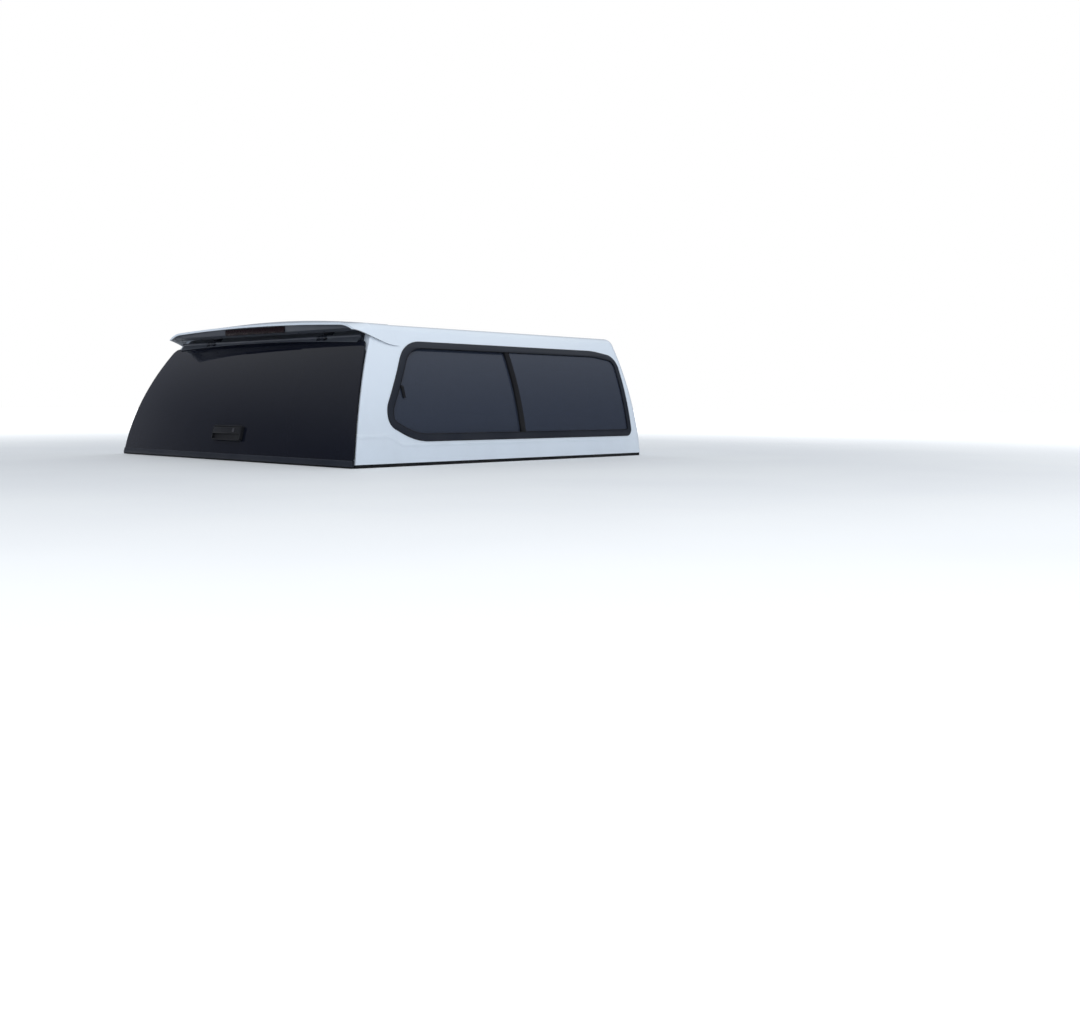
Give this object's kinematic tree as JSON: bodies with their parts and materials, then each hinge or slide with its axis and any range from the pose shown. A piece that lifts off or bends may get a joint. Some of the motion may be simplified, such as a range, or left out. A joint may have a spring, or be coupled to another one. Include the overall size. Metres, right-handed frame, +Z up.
{
  "type": "pickup truck canopy",
  "caption": "White moulded canopy for a pickup bed with sliding side windows, rear spoiler with brake light and a lift-up frameless glass rear door.",
  "frame": {"origin": "centre of the footprint, on the plane that the base seal rests on", "axes": "+X to the vehicle's right, +Y forwards to the cab, +Z up"},
  "size_m": [1.7978, 1.8431, 0.6148],
  "materials": {
    "white_shell": "gloss white gel coat",
    "dark_glass": "dark tinted glass",
    "rear_glass": "dark tinted curved glass",
    "gloss_dark": "gloss dark grey",
    "black_plastic": "grained black plastic",
    "handle_plastic": "satin black plastic",
    "black_rubber": "black rubber",
    "black_aluminium": "black coated aluminium",
    "mill_aluminium": "plain extruded aluminium",
    "zinc_steel": "zinc plated steel",
    "bright_metal": "bright key barrel",
    "brake_lens": "smoked red lens"
  },
  "bodies": {
    "canopy": {"base_seal": "black_rubber", "brake_light_housing": "black_plastic", "brake_light_lens": "brake_lens", "door_gutter": "black_plastic", "front_mounting_rail": "mill_aluminium", "front_window_gasket": "black_rubber", "front_window_glass": "dark_glass", "left_hinge_bracket": "black_aluminium", "left_mounting_rail": "mill_aluminium", "left_striker": "zinc_steel", "left_window_divider": "black_aluminium", "left_window_frame": "black_aluminium", "left_window_front_pane": "dark_glass", "left_window_pull": "black_plastic", "left_window_rear_pane": "dark_glass", "rear_door_seal": "black_rubber", "rear_spoiler": "white_shell", "right_hinge_bracket": "black_aluminium", "right_mounting_rail": "mill_aluminium", "right_striker": "zinc_steel", "right_window_divider": "black_aluminium", "right_window_frame": "black_aluminium", "right_window_front_pane": "dark_glass", "right_window_pull": "black_plastic", "right_window_rear_pane": "dark_glass", "shell": "white_shell", "spoiler_under_panel": "gloss_dark"},
    "rear_door": {"rear_glass": "rear_glass", "door_top_rail": "gloss_dark", "door_bottom_rail": "black_aluminium", "door_bottom_seal": "black_rubber", "handle_base": "black_plastic", "inner_latch_cover": "black_plastic", "left_corner_latch": "zinc_steel", "right_corner_latch": "zinc_steel", "left_latch_rod": "zinc_steel", "right_latch_rod": "zinc_steel", "left_hinge_leaf": "black_aluminium", "right_hinge_leaf": "black_aluminium"},
    "handle": {"handle_paddle": "handle_plastic", "handle_lock": "bright_metal"}
  },
  "joints": [
    {"name": "rear_door_hinge", "type": "hinge", "parent": "canopy", "child": "rear_door", "pos_m": [0, -0.69693, 0.53128], "axis": [-1, 0, 0], "range_deg": [0, 65]},
    {"name": "handle_pull", "type": "hinge", "parent": "rear_door", "child": "handle", "pos_m": [0, -0.8935, 0.14335], "axis": [-1, 0, 0], "range_deg": [0, 30], "stiffness_Nm_per_rad": 0.5, "springref_deg": -17.19}
  ]
}
